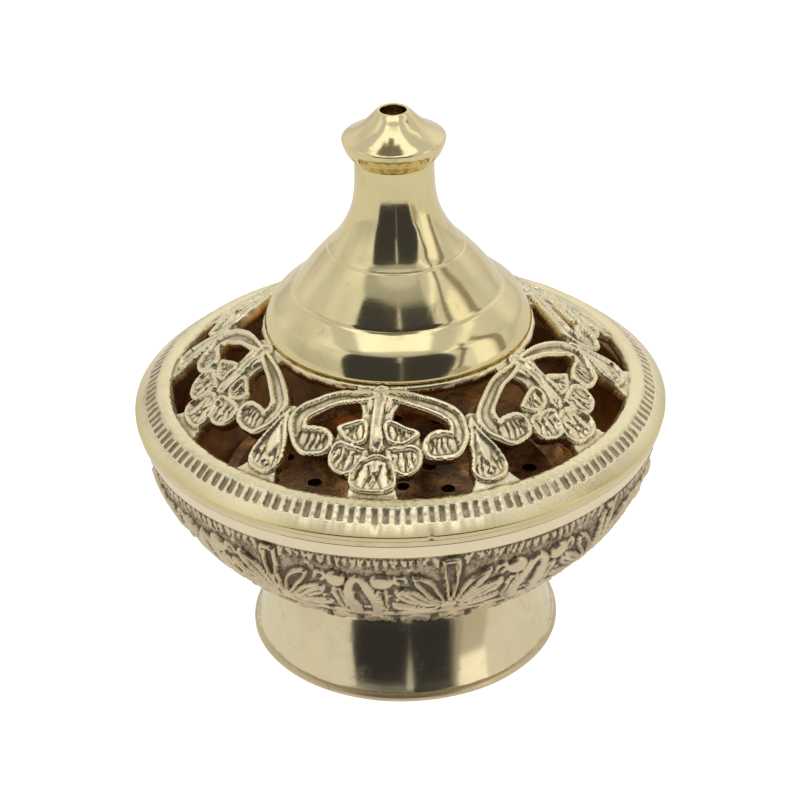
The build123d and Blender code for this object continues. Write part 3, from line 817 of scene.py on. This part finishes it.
class Surface:
    """A metal's node tree, built with short calls."""

    def __init__(self, name):
        self.material = bpy.data.materials.new(name)
        self.material.use_nodes = True
        self.tree = self.material.node_tree
        self.shader = self.tree.nodes["Principled BSDF"]
        self.shader.inputs["Metallic"].default_value = 1.0
        self.where = self.node("ShaderNodeTexCoord", {}).outputs["Object"]

    def node(self, kind, inputs, **settings):
        return add_node(self.tree, kind, inputs, **settings)

    def noise(self, size, detail=3.0, roughness=0.55, distortion=0.0, at=None):
        """Noise of about the given size, in millimetres."""
        inputs = {"Vector": at or self.where, "Scale": 1 / (size * MM), "Detail": detail,
                  "Roughness": roughness, "Distortion": distortion}
        return self.node("ShaderNodeTexNoise", inputs).outputs["Fac"]

    def math(self, operation, value, *others):
        """The operation over the values, one after the other."""
        for other in others:
            value = self.node("ShaderNodeMath", {0: value, 1: other},
                              operation=operation).outputs[0]
        return value

    def add(self, *values):
        return self.math("ADD", *values)

    def times(self, *values):
        return self.math("MULTIPLY", *values)

    def spread(self, value, low, high, to_low=0.0, to_high=1.0):
        """The value's range from low to high, smoothly moved to another range."""
        inputs = {"Value": value, "From Min": low, "From Max": high, "To Min": to_low,
                  "To Max": to_high}
        return self.node("ShaderNodeMapRange", inputs,
                         interpolation_type="SMOOTHSTEP").outputs["Result"]

    def mix(self, factor, a, b):
        return self.node("ShaderNodeMix", {0: factor, 6: a, 7: b}, data_type="RGBA").outputs[2]

    def bump(self, height, distance, below=None):
        """A bump as deep as distance, in millimetres, over another one."""
        inputs = {"Height": height, "Distance": distance * MM, "Strength": 1.0}
        if below is not None:
            inputs["Normal"] = below
        return self.node("ShaderNodeBump", inputs).outputs["Normal"]

    def turned(self):
        """Coordinates that are the same all round the axis: radius and height."""
        x, y, z = self.node("ShaderNodeSeparateXYZ", {0: self.where}).outputs
        square = self.add(self.math("POWER", x, 2.0), self.math("POWER", y, 2.0))
        radius = self.node("ShaderNodeMath", {0: square}, operation="SQRT").outputs[0]
        return self.node("ShaderNodeCombineXYZ", {0: radius, 1: z}).outputs[0]

    def set(self, colour, roughness, normal):
        for key, value in (("Base Color", colour), ("Roughness", roughness), ("Normal", normal)):
            self.tree.links.new(value, self.shader.inputs[key])
        return self.material


def turned_brass(name, bright, warm, stain, rough=0.1, browner_below=None):
    """Brass finished on the lathe and polished: fine rings and faint stains.

    Below the height given to it, in millimetres, it is matt and browner: darker towards the bottom."""
    s = Surface(name)
    rings = s.turned()
    lines = s.noise(0.22, 2.0, at=rings)
    bands = s.noise(1.6, 2.0, at=rings)
    cloud = s.noise(9.0, 5.0, 0.6)
    blotch = s.noise(3.0, 4.0, 0.62, 0.6)
    specks = s.noise(0.5, 3.0, 0.6)
    tone = s.mix(s.spread(cloud, 0.35, 0.68), bright, warm)
    tarnished = s.times(s.spread(blotch, 0.54, 0.78), s.spread(cloud, 0.3, 0.6))
    tone = s.mix(s.times(tarnished, 0.35), tone, stain)
    tone = s.mix(s.spread(specks, 0.7, 0.8, 0.0, 0.3), tone, stain)
    roughness = s.add(s.spread(cloud, 0.3, 0.7, rough * 0.75, rough * 1.25),
                      s.spread(lines, 0.3, 0.7, 0.0, 0.04), s.times(tarnished, 0.12))
    if browner_below is not None:
        # Matt and browner below the given height: darker towards the bottom.
        height = s.node("ShaderNodeSeparateXYZ", {0: s.where}).outputs[2]
        ragged = s.add(height, s.spread(blotch, 0.3, 0.7, -0.15 * MM, 0.15 * MM))
        browner = s.spread(ragged, (browner_below + 0.15) * MM, (browner_below - 0.15) * MM)
        tone = s.mix(s.times(browner, 0.3), tone, stain)
        roughness = s.add(roughness, s.times(browner, 0.3))
    normal = s.bump(cloud, 0.02)
    for height, depth in ((bands, 0.0035), (lines, 0.0012), (specks, 0.0015)):
        normal = s.bump(height, depth, normal)
    return s.set(tone, roughness, normal)


# A dark brown, for the painted shade inside the castings and for the plate's stains.
DEEP_BROWN = (0.36, 0.2, 0.1, 1)
CAST_TURNED_ROUGH = 0.24  # of the parts of a casting finished on the lathe


def cast_brass(name, bright, dull, patina, turned, rough=0.24):
    """Cast brass: the raised work rubbed bright, patina in the hollows, painted shade inside in a
    darker orange-brown.
    """
    s = Surface(name)
    cavity, smooth, heated = (s.node("ShaderNodeAttribute", {}, attribute_name=shade).outputs["Fac"]
                              for shade in ("cavity", "smooth", "heated"))
    mottle = s.noise(2.2, 5.0, 0.62, 0.4)
    cloud = s.noise(11.0, 4.0, 0.6)
    grain = s.noise(0.32, 4.0, 0.65)
    fine = s.noise(0.12, 2.0)
    rings = s.noise(0.25, 2.0, at=s.turned())
    cast = s.math("SUBTRACT", 1.0, smooth)
    ragged = s.add(cavity, s.times(cast, s.spread(mottle, 0.25, 0.75, -0.2, 0.2)),
                   s.times(cast, s.spread(grain, 0.25, 0.75, -0.08, 0.08)))
    dirt = s.spread(ragged, 0.3, 1.05)
    film = s.math("MAXIMUM", s.spread(ragged, 0.0, 0.55), s.spread(cloud, 0.42, 0.7, 0.0, 0.35))
    film = s.times(film, s.spread(smooth, 0.0, 1.0, 0.9, 0.12))
    tone = s.mix(film, s.mix(smooth, bright, turned), dull)
    tone = s.mix(dirt, tone, patina)
    # Painted shade and painted reflection inside the bowl and under the lid: a darker orange-brown,
    # as light bounced between brass walls would give.
    inside = s.mix(s.spread(cloud, 0.35, 0.62), (0.8, 0.42, 0.14, 1), DEEP_BROWN)
    tone = s.mix(heated, tone, inside)
    roughness = s.add(s.spread(dirt, 0.0, 1.0, rough, 0.5),
                      s.spread(grain, 0.25, 0.75, -0.03, 0.07),
                      s.times(smooth, CAST_TURNED_ROUGH - rough))
    normal = None
    for height, part, depth in ((mottle, cast, 0.03), (grain, cast, 0.014),
                                (rings, smooth, 0.0016)):
        normal = s.bump(s.times(height, part), depth, normal)
    return s.set(tone, roughness, s.bump(fine, 0.002, normal))


def stained_brass(name):
    """The plate's brass after many fires: brown, purple and grey heat colours, and ash."""
    s = Surface(name)
    cloud = s.noise(14.0, 5.0, 0.6, 0.5)
    blotch = s.noise(4.0, 5.0, 0.6)
    grain = s.noise(0.35, 4.0, 0.6)
    tone = s.mix(s.spread(cloud, 0.46, 0.66), DEEP_BROWN, (1.0, 0.54, 0.18, 1))
    tone = s.mix(s.spread(blotch, 0.5, 0.7), tone, (0.22, 0.16, 0.11, 1))
    tone = s.mix(s.spread(grain, 0.7, 0.84, 0.0, 0.4), tone, (0.14, 0.11, 0.08, 1))
    roughness = s.add(s.spread(blotch, 0.3, 0.7, 0.12, 0.36),
                      s.spread(grain, 0.3, 0.7, -0.04, 0.08))
    return s.set(tone, roughness, s.bump(grain, 0.02, s.bump(blotch, 0.08)))


def fixing_brass(name):
    """Plain brass fixings: satin, with tool marks and a little verdigris brown."""
    s = Surface(name)
    cloud = s.noise(2.5, 4.0, 0.6)
    marks = s.noise(0.15, 3.0, 0.5, at=s.turned())
    grain = s.noise(0.2, 3.0, 0.6)
    tone = s.mix(s.spread(cloud, 0.35, 0.65), (0.78, 0.62, 0.31, 1), (0.58, 0.43, 0.21, 1))
    tone = s.mix(s.spread(grain, 0.62, 0.78, 0.0, 0.6), tone, (0.2, 0.14, 0.07, 1))
    roughness = s.add(s.spread(cloud, 0.3, 0.7, 0.22, 0.36), s.spread(marks, 0.3, 0.7, 0.0, 0.08))
    return s.set(tone, roughness, s.bump(marks, 0.008, s.bump(grain, 0.01)))


BRIGHT = (0.86, 0.745, 0.42, 1)
WARM = (0.82, 0.7, 0.385, 1)
BROWN = (0.42, 0.29, 0.14, 1)

polished = turned_brass("polished_brass", BRIGHT, WARM, BROWN)
foot_brass = turned_brass("foot_brass", (0.86, 0.76, 0.5, 1), (0.8, 0.7, 0.46, 1), BROWN,
                          rough=0.15, browner_below=1.3)
satin = turned_brass("satin_brass", (0.86, 0.75, 0.5, 1), (0.8, 0.69, 0.45, 1), BROWN, rough=0.26)
openwork_brass = cast_brass("patinated_brass", (0.98, 0.87, 0.57, 1), (0.72, 0.62, 0.4, 1),
                            (0.36, 0.29, 0.18, 1), (0.82, 0.7, 0.37, 1))
frieze_brass = cast_brass("patinated_brass_dull", (0.8, 0.68, 0.45, 1), (0.5, 0.41, 0.28, 1),
                          (0.15, 0.12, 0.08, 1), (0.98, 0.86, 0.6, 1), rough=0.32)
heated = stained_brass("heat_stained_brass")
fixings = fixing_brass("brass_fixings")


# ---- The pieces ----

make_openwork(openwork_brass)
make_rim(openwork_brass)
make_bowl(frieze_brass)
make_foot(foot_brass)
make_seat_ring(satin)
make_chimney(polished)
make_finial(polished)

for node, material in (("charcoal_plate", heated), ("foot_screw", fixings),
                       ("foot_washer", fixings), ("foot_nut", fixings),
                       ("chimney_ring_nut", fixings)):
    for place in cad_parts[node].material_slots:
        place.material = material


# ---- Studio: floor, cards, light and camera ----

CAMERA_TURN = math.radians(7.3)  # the camera stands this far round from the front leaf
CAMERA_RISE = math.radians(30.28)
CAMERA_REACH = 0.3932  # from the point that it aims at
AIM = Vector((0, 0, 0.0463))
LEAN = math.radians(-1.45)  # the photo is a little off level
FINIAL = 0.09  # height of the finial
OVERHEAD = 0.6  # height of the overhead cards over the finial
FLOOR = 9.0  # half of its side


def glowing(name, colour, strength=1.0, diffuse=(0, 0, 0, 1)):
    """A stage material that shines by itself, with some diffuse colour under it."""
    material = bpy.data.materials.new(name)
    material.use_nodes = True
    shader = material.node_tree.nodes["Principled BSDF"]
    shader.inputs["Base Color"].default_value = diffuse
    shader.inputs["Roughness"].default_value = 1.0
    shader.inputs["Specular IOR Level"].default_value = 0.0
    shader.inputs["Emission Color"].default_value = (*colour, 1)
    shader.inputs["Emission Strength"].default_value = strength
    return material


def stage_mesh(name, points, faces, material):
    mesh = bpy.data.meshes.new(name)
    mesh.from_pydata(points, [], faces)
    mesh.materials.append(material)
    made = bpy.data.objects.new(name, mesh)
    bpy.context.scene.collection.objects.link(made)
    return made


def card(name, points, faces, colour):
    """A card that shows in the metal's reflections only."""
    made = stage_mesh(name, points, faces, glowing(name, colour))
    made.visible_camera = False
    made.visible_diffuse = False
    made.visible_shadow = False


def bent_card(name, radius, rows, colour, columns=12):
    """A card bent round the axis. Each row is a height in metres and the angles from the
    camera's side, in degrees, at which the card starts and ends there."""
    points, faces = [], []
    for height, start, end in rows:
        for k in range(columns + 1):
            turn = CAMERA_TURN + math.radians(start + (end - start) * k / columns)
            points.append((radius * math.sin(turn), -radius * math.cos(turn), height))
    for row in range(len(rows) - 1):
        for k in range(columns):
            a = row * (columns + 1) + k
            faces.append((a, a + 1, a + columns + 2, a + columns + 1))
    card(name, points, faces, colour)


def overhead_card(name, right, back, colour, lower=0.0):
    """A level card over the object, seen from the camera's side: its ranges to the right and to
    the back are given as parts of its height over the finial."""
    reach = OVERHEAD - lower
    cos, sin = math.cos(CAMERA_TURN), math.sin(CAMERA_TURN)
    corners = [(right[i] * reach, back[j] * reach) for i, j in ((0, 0), (1, 0), (1, 1), (0, 1))]
    points = [(x * cos - y * sin, x * sin + y * cos, FINIAL + reach) for x, y in corners]
    card(name, points, [(0, 1, 2, 3)], colour)


def square(size, height):
    return [(x * size, y * size, height) for x, y in ((-1, -1), (1, -1), (1, 1), (-1, 1))]


floor = stage_mesh("floor", square(FLOOR, 0.0), [(0, 1, 2, 3)],
                   glowing("floor_white", (1, 1, 1), 0.8, (0.6, 0.6, 0.6, 1)))
floor.visible_glossy = False
card("floor_seen_in_metal", square(FLOOR, -0.0005), [(0, 1, 2, 3)], (0.74, 0.72, 0.69))

DARK = (0.028, 0.027, 0.032)
LOW = (0.046, 0.045, 0.052)
DIM = (0.045, 0.044, 0.051)
WHITE = (1.25, 1.27, 1.3)
LAMP = (0.16, 0.16, 0.125)
# Dark side of the room, behind the camera, with a bright slit in its upper half
bent_card("dark_low", 0.3, [(0.002, -38, 32), (0.012, -42, 36), (0.05, -44, 39), (0.12, -46, 44),
                            (0.16, -49, 50), (0.22, -50, 49)], LOW)
bent_card("dusk_low", 0.301, [(0.012, 40, 52), (0.05, 43, 58), (0.1, 43, 54)],
          (0.45, 0.4, 0.32))
bent_card("slit_low", 0.299, [(0.03, 0.1, 1.3), (0.22, 0.2, 1.4)], (0.34, 0.34, 0.34))
bent_card("dark_left", 0.3, [(0.22, -50, -1.4), (0.35, -50, -2.4), (0.375, -45, -2.5),
                             (0.39, -36, -2.6), (0.398, -20, -2.6)], DIM)
bent_card("dark_right", 0.3, [(0.22, 0.4, 49), (0.35, 0.8, 43), (0.375, 0.9, 38), (0.39, 0.9, 30),
                              (0.398, 0.9, 14)], DIM)
bent_card("dim_top", 0.302, [(0.375, -50, 37), (0.41, -59, 41), (0.5, -60, 44)], (0.42, 0.42, 0.42))
# Dark edge of the table, low in front of the foot, with a slit in it
bent_card("dark_near_left", 0.034, [(0.0016, -23.5, -0.3), (0.0042, -25.5, 0.1), (0.0075, -28, 1.2),
                                    (0.0123, -31, 1.5)], DARK)
bent_card("dark_near_right", 0.034, [(0.0006, 2.9, 20), (0.0042, 2.6, 21), (0.0075, 1.7, 22.5),
                                     (0.0123, 1.5, 24.5)], DARK)
bent_card("dusk_near_right", 0.0341, [(0.0006, 19.5, 21), (0.005, 20.5, 23), (0.0123, 24, 28)],
          (0.14, 0.13, 0.11))
bent_card("haze_near_right", 0.0342, [(0.0006, 20.5, 22.5), (0.005, 22.5, 26), (0.0123, 27, 33)],
          (0.36, 0.33, 0.29))
# Soft light and shade on the table, to the right of that
bent_card("shade_near_right", 0.0343, [(0.0055, 24, 40), (0.0123, 30, 52)], (0.52, 0.49, 0.44))
bent_card("glow_near_right", 0.0344, [(0.0006, 22, 38), (0.0055, 25, 42)], (1.12, 1.08, 1.0))
# White box light overhead, round a dark lamp, in front of a grey screen
overhead_card("box_light", (-0.48, 0.37), (-0.46, 0.36), WHITE)
overhead_card("lamp", (-0.27, 0.15), (-0.04, 0.32), LAMP, lower=0.01)
overhead_card("lamp_tip", (-0.14, 0.02), (-0.19, -0.04), LAMP, lower=0.01)
overhead_card("screen", (-0.8, 0.7), (-0.8, 0.75), (0.62, 0.63, 0.66), lower=-0.02)
overhead_card("strip_right", (0.78, 0.92), (-0.8, 0.5), (1.1, 1.1, 1.05))
# Streaks at the right
bent_card("streak_right", 0.305, [(0.088, 45, 49), (0.16, 53, 58), (0.25, 60, 66), (0.3, 59, 65),
                                  (0.38, 69, 75), (0.43, 70, 77)], (0.13, 0.12, 0.1))
bent_card("bright_right", 0.31, [(0.05, 64, 82), (0.25, 68, 84), (0.3, 66, 80)], (1.08, 1.06, 1.0))
bent_card("brown_right", 0.32, [(0.05, 86, 94), (0.25, 87, 96), (0.42, 82, 90)],
          (0.3, 0.26, 0.22))

world = bpy.data.worlds.new("studio")
bpy.context.scene.world = world
world.use_nodes = True
tree = world.node_tree
around = add_node(tree, "ShaderNodeTexCoord", {}).outputs["Generated"]
height = add_node(tree, "ShaderNodeSeparateXYZ", {0: around}).outputs[2]
rise = add_node(tree, "ShaderNodeMapRange", {
    "Value": height, "From Min": 0.0, "From Max": 0.9, "To Min": 0.65, "To Max": 0.86})
# The room isn't even: slow changes of brightness round it
room = add_node(tree, "ShaderNodeTexNoise", {
    "Vector": around, "Scale": 1.6, "Detail": 1.0})
uneven = add_node(tree, "ShaderNodeMapRange", {
    "Value": room.outputs["Fac"], "From Min": 0.35, "From Max": 0.65, "To Min": 0.84,
    "To Max": 1.16})
shade = add_node(tree, "ShaderNodeMath", {
    0: rise.outputs["Result"], 1: uneven.outputs["Result"]}, operation="MULTIPLY")
sky = tree.nodes["Background"]
tree.links.new(shade.outputs[0], sky.inputs["Strength"])
sky.inputs["Color"].default_value = (1, 1, 1, 1)

camera_data = bpy.data.cameras.new("camera")
camera_data.lens = 103.95
camera_data.sensor_width = 36.0
camera_data.shift_y = -0.01625
camera_data.clip_start = 0.01
camera = bpy.data.objects.new("camera", camera_data)
bpy.context.scene.collection.objects.link(camera)
toward = Vector((math.sin(CAMERA_TURN) * math.cos(CAMERA_RISE),
                 -math.cos(CAMERA_TURN) * math.cos(CAMERA_RISE), math.sin(CAMERA_RISE)))
spin = toward.to_track_quat("Z", "Y").to_matrix().to_4x4()
camera.matrix_world = (Matrix.Translation(AIM + toward * CAMERA_REACH) @ spin
                       @ Matrix.Rotation(LEAN, 4, "Z"))
bpy.context.scene.camera = camera
bpy.context.scene.view_settings.view_transform = "Standard"
